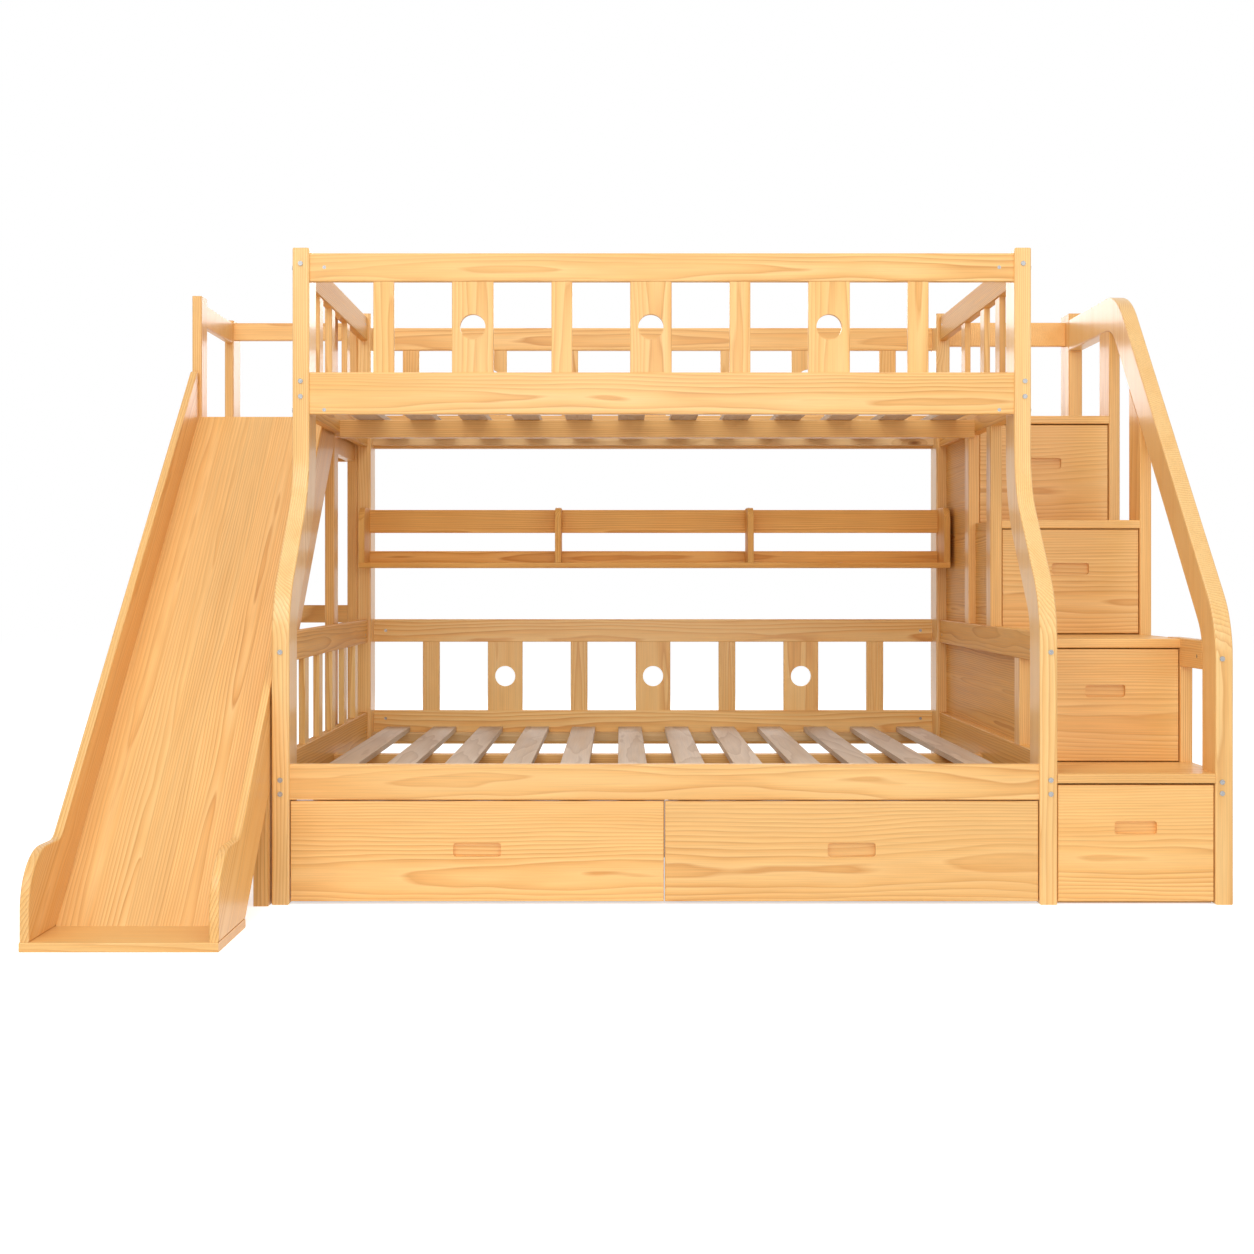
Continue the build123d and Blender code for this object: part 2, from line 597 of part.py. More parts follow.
# Platform between slide and bed
PL0 = SLIDE_LEFT + PLAT_POST_X
PR0 = SLIDE_RIGHT - PLAT_POST_X
pf1 = PLATFORM_FRONT + PLAT_POST_Y
put("platform_posts", board(SLIDE_LEFT, PL0, PLATFORM_FRONT, pf1, 0, 1731.0, Axis.Z, 4.0))
put("platform_posts", board(PR0, SLIDE_RIGHT, PLATFORM_FRONT, pf1, 0, 1720.0, Axis.Z, 4.0))
put("platform_posts", board(SLIDE_LEFT, PL0, REAR_POST_Y, REAR_FACE, 0, 1721.0, Axis.Z, 4.0))
put("platform_posts", board(PR0, -OUTER, REAR_POST_Y, REAR_FACE, 0, 1721.0, Axis.Z, 4.0))
BEARER_Z = 1240.0
deck_low = DECK_Z - DECK_T
put("platform_bearers", block(PL0, PR0, PLATFORM_FRONT, PLATFORM_FRONT + RAIL, BEARER_Z, deck_low))
put("platform_bearers", block(PL0, PR0, REAR_POST_Y, REAR_POST_Y + RAIL, BEARER_Z, deck_low))
put("platform_bearers", block(SLIDE_LEFT + 5, PL0, pf1, REAR_POST_Y, BEARER_Z, deck_low))
put("platform_bearers", block(PR0, SLIDE_RIGHT - 5, pf1, REAR_POST_Y, BEARER_Z, deck_low))
put("platform_bearers", block(
    SLIDE_RIGHT, -END_INNER - END_LEFT, PLATFORM_FRONT, pf1, UP_RAIL_Z, deck_low))
put("platform_deck", block(SLIDE_LEFT, -END_INNER - END_LEFT, PLATFORM_FRONT, 1482.0, deck_low, DECK_Z))
for x0, x1, y0, y1 in (
    (SLIDE_LEFT - 1, PL0, PLATFORM_FRONT - 1, pf1),
    (PR0, SLIDE_RIGHT, PLATFORM_FRONT - 1, pf1),
    (SLIDE_LEFT - 1, PL0, REAR_POST_Y, REAR_FACE),
    (PR0, -HALF, REAR_POST_Y, REAR_FACE),
):
    cut("platform_deck", block(x0, x1, y0, y1, deck_low - 1, DECK_Z + 1))
put("platform_guard_rails", board(
    SLIDE_LEFT + 5, SLIDE_LEFT + 27, pf1, REAR_POST_Y, 1643.0, 1713.0, Axis.Y, 4.0))
put("platform_guard_rails", board(PL0, PR0, 1460.0, 1482.0, 1654.0, 1714.0, Axis.X, 4.0))
put("platform_guard_rails", board(PL0, PR0, 1460.0, 1482.0, 690.0, 750.0, Axis.X, 4.0))


def joint_x(face_x, way, y, z, through, across0, across1, parts):
    """A bolt along X into a rail end, with its cross dowel along Y."""
    reach = through + DOWEL_IN + 8.0
    tip = face_x + way * reach
    head = face_x - way * HEAD_T
    x0 = min(face_x, tip)
    x1 = max(face_x, tip)
    shank = rod_x(x0, x1, y, z, BOLT_D)
    cap = rod_x(min(face_x, head), max(face_x, head), y, z, HEAD_D)
    dowel_x = face_x + way * (through + DOWEL_IN)
    put("bolts", cap + shank)
    put("bolts", rod_y(dowel_x, across0, across1, z, DOWEL_D) - shank)
    for name in parts:
        cut(name, rod_x(x0, x1, y, z, BOLT_HOLE))
        cut(name, rod_y(dowel_x, across0 - 1, across1 + 1, z, DOWEL_D))


def joint_y(x, face_y, way, z, through, across0, across1, parts):
    """A bolt along Y into a rail end, with its cross dowel along X."""
    tip = face_y + way * (through + DOWEL_IN + 8.0)
    head = face_y - way * HEAD_T
    y0 = min(face_y, tip)
    y1 = max(face_y, tip)
    shank = rod_y(x, y0, y1, z, BOLT_D)
    cap = rod_y(x, min(face_y, head), max(face_y, head), z, HEAD_D)
    dowel_y = face_y + way * (through + DOWEL_IN)
    put("bolts", cap + shank)
    put("bolts", rod_x(across0, across1, dowel_y, z, DOWEL_D) - shank)
    for name in parts:
        cut(name, rod_y(x, y0, y1, z, BOLT_HOLE))
        cut(name, rod_x(across0 - 1, across1 + 1, dowel_y, z, DOWEL_D))


# Bolts through the posts into the end rails
for side, name in ((-1, "left"), (1, "right")):
    thick = END_LEFT if side < 0 else END_RIGHT
    a0 = -END_INNER - thick if side < 0 else END_INNER
    a1 = a0 + thick
    x = (a0 + a1) / 2
    front = "front_post_" + name
    rear = "rear_post_" + name
    low = "lower_end_rail_" + name
    up = "upper_end_rail_" + name
    g1 = a0 + END_LEFT
    gx = (a0 + g1) / 2
    joint_y(x, 0.0, 1, 321.0, POST_Y, a0, a1, (front, low))
    joint_y(x, 0.0, 1, 285.0, POST_Y, a0, a1, (front, low))
    joint_y(x, 0.0, 1, 650.0, POST_Y, a0, a1, (front, "lower_end_guard_rails"))
    joint_y(x, UPPER_SET, 1, 1338.0, POST_Y, a0, a1, (front, up))
    joint_y(x, UPPER_SET, 1, 1380.0, POST_Y, a0, a1, (front, up))
    joint_y(gx, UPPER_SET, 1, 1702.0, POST_Y, a0, g1, (front, "upper_end_guard_rails"))
    joint_y(x, REAR_FACE, -1, 321.0, POST_Y, a0, a1, (rear, low))
    joint_y(x, REAR_FACE, -1, 650.0, POST_Y, a0, a1, (rear, "lower_end_guard_rails"))
    joint_y(x, REAR_FACE, -1, 1338.0, POST_Y, a0, a1, (rear, up))
    joint_y(x, REAR_FACE, -1, 1380.0, POST_Y, a0, a1, (rear, up))
    joint_y(gx, REAR_FACE, -1, 1702.0, POST_Y, a0, g1, (rear, "upper_end_guard_rails"))

# Bolts through the posts into the long rails
rear_mid = (REAR_RAIL_Y0 + REAR_RAIL_Y1) / 2
up_mid = (UP_FRONT_Y0 + UP_FRONT_Y1) / 2
for side, name in ((-1, "left"), (1, "right")):
    front = "front_post_" + name
    rear = "rear_post_" + name
    face = side * OUTER
    way = -side
    joint_x(face, way, up_mid, 1302.0, POST_X, UP_FRONT_Y0, UP_FRONT_Y1, (front, "upper_front_rail"))
    joint_x(face, way, up_mid, 1693.0, POST_X, front_guard_y, front_guard_y + GUARD_T,
            (front, "upper_front_guard_rail"))
    for z, rail in (
        (357.0, "lower_rear_rail"), (661.0, "lower_rear_guard_rail"), (1360.0, "upper_rear_rail"),
    ):
        joint_x(face, way, rear_mid, z, POST_X, REAR_RAIL_Y0, REAR_RAIL_Y1, (rear, rail))
    joint_x(face, way, rear_mid, 1669.0, POST_X, rear_guard_y, rear_guard_y + GUARD_T,
            (rear, "upper_rear_guard_rail"))
for z in (357.0, 661.0, 1360.0, 1669.0):
    cut("platform_posts", rod_x(-OUTER - HEAD_T - 1, -OUTER, rear_mid, z, HEAD_D + 2))

# Bolts of the stair handrail's front post
for z in (633.0, 316.0, 287.0):
    joint_y(STAIR_OUT + OUTER_POST / 2, 0.0, 1, z, HAND_DEPTH, STAIR_OUT, OUT_POST_X1, ("stair_handrail", "stair_side_rails"))

shift = Location((-X_MID, -Y_MID, 0))
for name, solids in nodes.items():
    moved = [solid.moved(shift) for solid in solids]
    shape = moved[0] if len(moved) == 1 else Compound(children=moved)
    shape.label = name
    export_step(shape, "parts/" + name + ".step")
print(len(nodes), "nodes")
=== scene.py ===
"""Looks of a wooden bunk bed with a slide and a drawer staircase.

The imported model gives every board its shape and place. This script gives the
boards their pine, varnish and fittings, and adds a plain studio and the camera.
"""

import logging
import math
from dataclasses import dataclass, field
from enum import Enum
from typing import Dict, List, Optional, Sequence, Tuple, Union

import bpy
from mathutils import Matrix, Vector

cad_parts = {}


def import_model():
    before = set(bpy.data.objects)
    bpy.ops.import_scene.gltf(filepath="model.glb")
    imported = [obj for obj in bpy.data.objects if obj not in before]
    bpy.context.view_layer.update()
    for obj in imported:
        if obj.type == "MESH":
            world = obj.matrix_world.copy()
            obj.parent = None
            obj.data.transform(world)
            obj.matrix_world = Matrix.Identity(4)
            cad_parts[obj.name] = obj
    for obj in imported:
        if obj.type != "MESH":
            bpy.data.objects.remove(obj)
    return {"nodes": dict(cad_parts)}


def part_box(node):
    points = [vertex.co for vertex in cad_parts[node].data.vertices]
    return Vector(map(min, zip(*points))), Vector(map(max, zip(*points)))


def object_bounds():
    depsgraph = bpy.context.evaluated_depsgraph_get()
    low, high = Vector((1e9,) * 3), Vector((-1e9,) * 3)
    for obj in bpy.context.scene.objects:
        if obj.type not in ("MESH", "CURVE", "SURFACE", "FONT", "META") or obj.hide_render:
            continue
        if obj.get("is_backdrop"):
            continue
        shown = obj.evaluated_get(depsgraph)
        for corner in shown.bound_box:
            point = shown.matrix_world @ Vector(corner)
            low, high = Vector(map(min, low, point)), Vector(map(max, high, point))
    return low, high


LOG = logging.getLogger("bunk_bed")

Triple = Tuple[float, float, float]
Shade = Tuple[int, int, int]
Paint = Tuple[float, float, float, float]
Socket = bpy.types.NodeSocket

WHITE: Paint = (1.0, 1.0, 1.0, 1.0)
HALF: Triple = (0.5, 0.5, 0.5)
# A cell this wide holds the whole bed
WIDE_OPEN = 1000.0
# Distance from ring to ring in most boards, in metres
RING = 0.0055
# How steeply the slide falls
SLIDE_ANGLE = math.radians(43.858)
# Depth from the bed's front line to the middle of its box, in metres
MIDDLE_DEPTH = 0.4975
# How many seeds there are for the nodes
SEEDS = 97


def srgb(red: int, green: int, blue: int) -> Paint:
    """Turns screen colour values into linear ones.

    Args:
        red: Red from 0 to 255.
        green: Green from 0 to 255.
        blue: Blue from 0 to 255.

    Returns:
        Linear red, green, blue and an alpha of 1.
    """
    out: List[float] = []
    for value in (red, green, blue):
        share = value / 255.0
        if share <= 0.04045:
            out.append(share / 12.92)
        else:
            out.append(((share + 0.055) / 1.055) ** 2.4)
    return (out[0], out[1], out[2], 1.0)


class Grain(Enum):
    """The way the fibres of a board run."""

    ALONG_X = "x"
    ALONG_Y = "y"
    ALONG_Z = "z"
    ALONG_SLIDE = "slide"


@dataclass(frozen=True)
class Span:
    """A range of numbers and the range that it turns into.

    Attributes:
        low: Where the old range begins.
        high: Where the old range ends.
        to_low: Where the new range begins.
        to_high: Where the new range ends.
    """

    low: float
    high: float
    to_low: float
    to_high: float


@dataclass(frozen=True)
class Tones:
    """The finish of one sort of wood, its colours as screen values.

    Attributes:
        light: Early wood between the rings.
        middle: The ground colour.
        streak: Late wood.
        dark: The sharp edge of a ring.
        knot: The heart of a knot.
        roughness: How matt the surface is.
        coat: How strong the varnish shines.
        contrast: Share of the ring figure that shows.
        specular: How strongly the bare surface mirrors.
    """

    light: Shade
    middle: Shade
    streak: Shade
    dark: Shade
    knot: Shade
    roughness: float
    coat: float
    contrast: float
    specular: float


VARNISHED = Tones(
    light=(250, 204, 135), middle=(243, 191, 117), streak=(230, 170, 94), dark=(212, 147, 73),
    knot=(156, 92, 44), roughness=0.42, coat=0.22, contrast=0.88, specular=0.4)
GLOSSY = Tones(
    light=(252, 212, 146), middle=(246, 200, 130), streak=(233, 178, 104), dark=(216, 152, 78),
    knot=(156, 92, 44), roughness=0.36, coat=0.28, contrast=0.8, specular=0.4)
PALER = Tones(
    light=(253, 218, 152), middle=(249, 206, 134), streak=(238, 186, 109), dark=(219, 157, 82),
    knot=(156, 92, 44), roughness=0.42, coat=0.15, contrast=0.95, specular=0.35)
# Satin copy of the pine for the boards that face into the bed; its colours are darker than
# VARNISHED, as painted shade for those faces
INNER_PAINTED_SHADE = Tones(
    light=(242, 192, 115), middle=(234, 178, 98), streak=(219, 156, 76), dark=(200, 131, 54),
    knot=(150, 86, 40), roughness=0.55, coat=0.04, contrast=0.95, specular=0.2)
BARE_SLAT = Tones(
    light=(224, 206, 186), middle=(214, 194, 172), streak=(201, 179, 155), dark=(186, 161, 136),
    knot=(134, 104, 78), roughness=0.62, coat=0.0, contrast=0.7, specular=0.3)
BOXWOOD = Tones(
    light=(240, 208, 158), middle=(230, 194, 141), streak=(217, 176, 120), dark=(202, 158, 102),
    knot=(150, 100, 58), roughness=0.5, coat=0.05, contrast=0.6, specular=0.3)


@dataclass(frozen=True)
class Run:
    """How boards repeat along one axis.

    Attributes:
        pitch: Distance from board to board, in metres.
        start: Where the first board's cell begins.
    """

    pitch: float = WIDE_OPEN
    start: float = -WIDE_OPEN / 2


ALONE = Run()


@dataclass(frozen=True)
class Board:
    """How one sort of board is cut.

    Attributes:
        name: Name of the material.
        grain: The way of the fibres.
        tones: The wood's finish.
        seed: Number that sets one sort apart from the next.
        pith: Where the tree's middle lies from the cell's middle, across the fibres.
        runs: How the boards repeat along X, Y and Z.
        ring: Distance from ring to ring, in metres.
    """

    name: str
    grain: Grain
    tones: Tones
    seed: float
    pith: Triple
    runs: Tuple[Run, Run, Run]
    ring: float


@dataclass(frozen=True)
class Knots:
    """The few knots of the wood, the fibres along the first axis.

    Attributes:
        spread: Scale of the knots' cells along and across the fibres.
        scale: How many such cells there are to the unit.
        rarity: Share of the cells that hold no knot.
        near: How close a point is to a knot, by its distance.
        fade: How quickly the bend round a knot fades.
        bulge: How far a knot bends the rings.
        heart: How much of a knot's heart shows, by distance.
    """

    spread: Triple = (0.8, 2.0, 2.0)
    scale: float = 2.9
    rarity: float = 0.84
    near: Span = Span(0.0, 0.36, 1.0, 0.0)
    fade: float = 3.0
    bulge: float = 0.02
    heart: Span = Span(0.02, 0.055, 0.8, 0.0)


@dataclass(frozen=True)
class Rings:
    """The year rings of the wood, the fibres along the first axis.

    Attributes:
        stretch: How quickly the rings change along and across the fibres.
        wave: Scale of the ring texture times the distance from ring to ring.
        wander: How far the rings wander, times that distance.
        reach: Fineness of the wander, divided by that distance.
        detail: How many finer layers the wander has.
        rough: How strong those are.
        stops: Where light, middle, streak, dark and light again lie in a ring.
    """

    stretch: Triple = (0.13, 1.0, 1.0)
    wave: float = 0.314
    wander: float = 0.1
    reach: float = 27.0
    detail: float = 3.0
    rough: float = 0.45
    stops: Tuple[float, ...] = (0.0, 0.45, 0.76, 0.9, 1.0)


@dataclass(frozen=True)
class Figure:
    """What fibres, patches and streaks do to the colour, fibres along the first axis.

    Attributes:
        usual: The part of a noise's range that it mostly fills.
        layers: How many finer layers each noise has.
        patch: Scale of the patches with more and less figure.
        least: Share of the figure that is left where it shows least.
        fibre: Scale of the fine fibres.
        fibre_rough: How strong their finer layers are.
        fibre_shade: How the fibres darken and lighten.
        warm: Scale of the warmer streaks.
        warm_share: How much of them shows.
        warm_tint: Colour that they multiply by.
        board_shade: How one board is darker or lighter than the next.
        smoother: What the smoothest fibres take from the roughness.
        rougher: What the roughest fibres add to it.
        varnish: How rough the varnish is.
        relief: Share of the relief that shows.
        relief_depth: Its depth, in metres.
    """

    usual: Tuple[float, float] = (0.3, 0.7)
    layers: float = 3.0
    patch: Triple = (0.9, 7.0, 7.0)
    least: float = 0.3
    fibre: Triple = (5.0, 330.0, 330.0)
    fibre_rough: float = 0.6
    fibre_shade: Span = Span(0.3, 0.72, 0.9, 1.07)
    warm: Triple = (1.6, 22.0, 22.0)
    warm_share: Span = Span(0.45, 0.75, 0.0, 0.75)
    warm_tint: Paint = (0.93, 0.84, 0.7, 1.0)
    board_shade: Span = Span(0.0, 1.0, 0.93, 1.05)
    smoother: float = 0.05
    rougher: float = 0.07
    varnish: float = 0.16
    relief: float = 0.16
    relief_depth: float = 0.0004


class Graph:
    """Adds nodes to one material or world and links them."""

    def __init__(self, owner: Union[bpy.types.Material, bpy.types.World]) -> None:
        """Starts with no nodes.

        Args:
            owner: The material or world to fill.
        """
        owner.use_nodes = True
        self.tree = owner.node_tree
        self.tree.nodes.clear()
        self.count = 0

    def node(self, kind: str, **settings: object) -> bpy.types.Node:
        """Adds a node.

        Args:
            kind: The node's type name.
            **settings: Attributes to set on it.

        Returns:
            The new node.
        """
        made = self.tree.nodes.new(kind)
        made.location = (self.count % 8 * 200.0, -(self.count // 8) * 260.0)
        self.count += 1
        for key, value in settings.items():
            setattr(made, key, value)
        return made

    def feed(self, socket: Socket, value: object) -> None:
        """Gives a socket a link or a plain value.

        Args:
            socket: The input socket.
            value: An output socket, a number or a sequence.
        """
        if isinstance(value, bpy.types.NodeSocket):
            self.tree.links.new(value, socket)
        else:
            socket.default_value = value

    def number(self, operation: str, first: object, second: object) -> Socket:
        """Works out one number from two.

        Args:
            operation: The node's operation.
            first: The first number.
            second: The second number.

        Returns:
            The result.
        """
        made = self.node("ShaderNodeMath", operation=operation)
        self.feed(made.inputs[0], first)
        self.feed(made.inputs[1], second)
        return made.outputs[0]

    def vector(self, operation: str, first: object, second: object) -> Socket:
        """Works out one vector from two.

        Args:
            operation: The node's operation.
            first: The first vector.
            second: The second vector.

        Returns:
            The result.
        """
        made = self.node("ShaderNodeVectorMath", operation=operation)
        self.feed(made.inputs[0], first)
        self.feed(made.inputs[1], second)
        return made.outputs[0]

    def lengthen(self, way: Triple, factor: Socket) -> Socket:
        """Makes a fixed vector longer or shorter.

        Args:
            way: The vector.
            factor: The number to multiply it by.

        Returns:
            The longer or shorter vector.
        """
        made = self.node("ShaderNodeVectorMath", operation="SCALE")
        self.feed(made.inputs[0], way)
        self.feed(made.inputs["Scale"], factor)
        return made.outputs[0]

    def blend(self, mode: str, factor: object, first: object, second: object) -> Socket:
        """Mixes two colours.

        Args:
            mode: The way of mixing.
            factor: Share of the second colour.
            first: The first colour.
            second: The second colour.

        Returns:
            The mixed colour.
        """
        made = self.node("ShaderNodeMix", data_type="RGBA", blend_type=mode)
        self.feed(made.inputs["Factor"], factor)
        self.feed(made.inputs["A"], first)
        self.feed(made.inputs["B"], second)
        return made.outputs["Result"]

    def shade(self, colour: object, share: Socket) -> Socket:
        """Multiplies a colour by a number.

        Args:
            colour: The colour.
            share: The number.

        Returns:
            The darker or lighter colour.
        """
        grey = self.node("ShaderNodeCombineColor")
        for socket in grey.inputs:
            self.feed(socket, share)
        return self.blend("MULTIPLY", 1.0, colour, grey.outputs[0])

    def ramp(self, factor: object, stops: Sequence[Tuple[float, Paint]]) -> Socket:
        """Adds a colour ramp.

        Args:
            factor: Where on the ramp to look.
            stops: Places from 0 to 1 and their colours.

        Returns:
            The ramp's colour there.
        """
        made = self.node("ShaderNodeValToRGB")
        elements = made.color_ramp.elements
        while len(elements) < len(stops):
            elements.new(0.5)
        for element, (place, colour) in zip(elements, stops):
            element.position = place
            element.color = colour
        self.feed(made.inputs[0], factor)
        return made.outputs["Color"]

    def scale(self, value: object, span: Span) -> Socket:
        """Maps a number from one range to another and keeps it there.

        Args:
            value: The number.
            span: The two ranges.

        Returns:
            The mapped number.
        """
        made = self.node("ShaderNodeMapRange", clamp=True)
        self.feed(made.inputs["Value"], value)
        made.inputs["From Min"].default_value = span.low
        made.inputs["From Max"].default_value = span.high
        made.inputs["To Min"].default_value = span.to_low
        made.inputs["To Max"].default_value = span.to_high
        return made.outputs["Result"]

    def noise(self, place: object, scale: float, detail: float, rough: float = 0.5) -> Socket:
        """Adds a noise texture.

        Args:
            place: Where to look in the noise.
            scale: How fine it is.
            detail: How many finer layers it has.
            rough: How strong those are.

        Returns:
            The noise from 0 to 1.
        """
        made = self.node("ShaderNodeTexNoise")
        self.feed(made.inputs["Vector"], place)
        made.inputs["Scale"].default_value = scale
        made.inputs["Detail"].default_value = detail
        made.inputs["Roughness"].default_value = rough
        return made.outputs[0]

    def coords(self) -> Socket:
        """Returns the place on the object, in metres."""
        return self.node("ShaderNodeTexCoord").outputs["Object"]

    def seen(self) -> Socket:
        """Tells rays that look at a surface from rays that light it.

        Returns:
            1 for the first and 0 for the others.
        """
        path = self.node("ShaderNodeLightPath")
        either = self.number(
            "MAXIMUM", path.outputs["Is Camera Ray"], path.outputs["Is Glossy Ray"])
        return self.number("MAXIMUM", either, path.outputs["Is Transmission Ray"])

    def mix(self, factor: Socket, first: Socket, second: Socket) -> Socket:
        """Mixes two shaders.

        Args:
            factor: Share of the second shader.
            first: The first shader.
            second: The second shader.

        Returns:
            The mixed shader.
        """
        mixed = self.node("ShaderNodeMixShader")
        for socket, value in zip(mixed.inputs, (factor, first, second)):
            self.feed(socket, value)
        return mixed.outputs[0]

    def bump(self, shader: bpy.types.Node, height: Socket, strength: float, depth: float) -> None:
        """Gives a shader a fine relief.

        Args:
            shader: The shader's node.
            height: The relief's height.
            strength: Share of the relief that shows.
            depth: Its depth, in metres.
        """
        relief = self.node("ShaderNodeBump")
        relief.inputs["Strength"].default_value = strength
        relief.inputs["Distance"].default_value = depth
        self.feed(relief.inputs["Height"], height)
        self.feed(shader.inputs["Normal"], relief.outputs[0])

    def close(self, shader: Socket, kind: str = "ShaderNodeOutputMaterial") -> None:
        """Leads a shader to an output node of the given type."""
        self.feed(self.node(kind).inputs["Surface"], shader)


@dataclass
class WoodMaker:
    """Makes the wood materials, each on first use.

    Attributes:
        knots: The knots.
        rings: The year rings.
        figure: The fibres, patches and streaks.
        drift: How far apart two boards' piths can lie, the fibres along the first axis.
        cell_offset: What a seed is joined by, so that no cell draws zeros.
        made: The materials by name.
    """

    knots: Knots = Knots()
    rings: Rings = Rings()
    figure: Figure = Figure()
    drift: Triple = (9.0, 0.05, 0.05)
    cell_offset: Tuple[float, float] = (0.37, 0.11)
    made: Dict[str, bpy.types.Material] = field(default_factory=dict)

    def get(self, board: Board) -> bpy.types.Material:
        """Returns the material of a sort of board.

        Args:
            board: The sort of board.

        Returns:
            Its material.
        """
        if board.name not in self.made:
            self.made[board.name] = self._make(board)
        return self.made[board.name]

    def _place(self, graph: Graph, board: Board) -> Tuple[Socket, Socket]:
        """Finds each point's place within its own board.

        Args:
            graph: The material's nodes.
            board: The sort of board.

        Returns:
            The place from the pith, the fibres along the first axis, and a
            number from 0 to 1 that each board has to itself.
        """
        order = {
            Grain.ALONG_X: (0, 1, 2),
            Grain.ALONG_Y: (1, 0, 2),
            Grain.ALONG_Z: (2, 0, 1),
            Grain.ALONG_SLIDE: (1, 0, 2),
        }[board.grain]
        coords = graph.coords()
        if board.grain is Grain.ALONG_SLIDE:
            level = graph.node("ShaderNodeVectorRotate", rotation_type="X_AXIS")
            graph.feed(level.inputs["Vector"], coords)
            level.inputs["Angle"].default_value = -SLIDE_ANGLE
            coords = level.outputs[0]
        pitch = tuple(run.pitch for run in board.runs)
        start = tuple(run.start for run in board.runs)
        shifted = graph.vector("SUBTRACT", coords, start)
        cell = graph.vector("FLOOR", graph.vector("DIVIDE", shifted, pitch), (0.0, 0.0, 0.0))
        middle = graph.vector("MULTIPLY", graph.vector("ADD", cell, HALF), pitch)
        local = graph.vector("SUBTRACT", shifted, middle)
        chance = graph.node("ShaderNodeTexWhiteNoise", noise_dimensions="3D")
        graph.feed(chance.inputs["Vector"], graph.vector(
            "ADD", cell, (board.seed, *self.cell_offset)))
        split = graph.node("ShaderNodeSeparateXYZ")
        graph.feed(split.inputs[0], graph.vector("SUBTRACT", local, board.pith))
        joined = graph.node("ShaderNodeCombineXYZ")
        for socket, axis in zip(joined.inputs, order):
            graph.feed(socket, split.outputs[axis])
        drift = graph.vector("SUBTRACT", chance.outputs["Color"], HALF)
        drift = graph.vector("MULTIPLY", drift, self.drift)
        return graph.vector("ADD", joined.outputs[0], drift), chance.outputs["Value"]

    def _knots(self, graph: Graph, point: Socket) -> Tuple[Socket, Socket]:
        """Scatters a few knots.

        Args:
            graph: The material's nodes.
            point: The place from the pith.

        Returns:
            How far the knots push the rings aside, and how much of a knot's
            heart shows.
        """
        knots = self.knots
        cells = graph.node("ShaderNodeTexVoronoi", feature="F1")
        graph.feed(cells.inputs["Vector"], graph.vector("MULTIPLY", point, knots.spread))
        cells.inputs["Scale"].default_value = knots.scale
        draw = graph.node("ShaderNodeSeparateColor")
        graph.feed(draw.inputs[0], cells.outputs["Color"])
        chosen = graph.number("GREATER_THAN", draw.outputs[0], knots.rarity)
        near = graph.scale(cells.outputs["Distance"], knots.near)
        near = graph.number("MULTIPLY", graph.number("POWER", near, knots.fade), chosen)
        push = graph.lengthen((0.0, 1.0, 1.0), graph.number("MULTIPLY", near, knots.bulge))
        heart = graph.scale(cells.outputs["Distance"], knots.heart)
        return push, graph.number("MULTIPLY", heart, chosen)

    def _rings(self, graph: Graph, board: Board, point: Socket, push: Socket) -> Socket:
        """Draws the year rings.

        Args:
            graph: The material's nodes.
            board: The sort of board.
            point: The place from the pith.
            push: How far the knots push the rings aside.

        Returns:
            How far each point lies through its ring, from 0 to 1.
        """
        rings = self.rings
        stretched = graph.vector("MULTIPLY", point, rings.stretch)
        waves = graph.node(
            "ShaderNodeTexWave", wave_type="RINGS", rings_direction="X", wave_profile="SAW")
        graph.feed(waves.inputs["Vector"], graph.vector("ADD", stretched, push))
        waves.inputs["Scale"].default_value = rings.wave / board.ring
        waves.inputs["Distortion"].default_value = rings.wander / board.ring
        waves.inputs["Detail"].default_value = rings.detail
        waves.inputs["Detail Scale"].default_value = rings.reach * board.ring
        waves.inputs["Detail Roughness"].default_value = rings.rough
        return waves.outputs["Fac"]

    def _colour(self, graph: Graph, tones: Tones, point: Socket, rings: Socket, fibre: Socket
                ) -> Socket:
        """Colours rings, fibres and warmer streaks.

        Args:
            graph: The material's nodes.
            tones: The wood's finish.
            point: The place from the pith.
            rings: How far each point lies through its ring.
            fibre: The fine fibres.

        Returns:
            The wood's colour, one board like the next and without knots.
        """
        figure = self.figure
        shades = (tones.light, tones.middle, tones.streak, tones.dark, tones.light)
        drawn = graph.ramp(rings, [
            (stop, srgb(*shade)) for stop, shade in zip(self.rings.stops, shades)])
        patch = graph.noise(graph.vector("MULTIPLY", point, figure.patch), 1.0, figure.layers)
        least = figure.least * tones.contrast
        strength = graph.scale(patch, Span(*figure.usual, least, tones.contrast))
        colour = graph.blend("MIX", strength, srgb(*tones.middle), drawn)
        colour = graph.shade(colour, graph.scale(fibre, figure.fibre_shade))
        warm = graph.noise(graph.vector("MULTIPLY", point, figure.warm), 1.0, figure.layers)
        return graph.blend(
            "MULTIPLY", graph.scale(warm, figure.warm_share), colour, figure.warm_tint)

    def _make(self, board: Board) -> bpy.types.Material:
        """Builds the material of one sort of board.

        Args:
            board: The sort of board.

        Returns:
            The new material.
        """
        tones = board.tones
        figure = self.figure
        material = bpy.data.materials.new(board.name)
        graph = Graph(material)
        point, chance = self._place(graph, board)
        push, heart = self._knots(graph, point)
        rings = self._rings(graph, board, point, push)
        fibre = graph.noise(
            graph.vector("MULTIPLY", point, figure.fibre), 1.0, figure.layers, figure.fibre_rough)
        colour = self._colour(graph, tones, point, rings, fibre)
        colour = graph.shade(colour, graph.scale(chance, figure.board_shade))
        colour = graph.blend("MIX", heart, colour, srgb(*tones.knot))

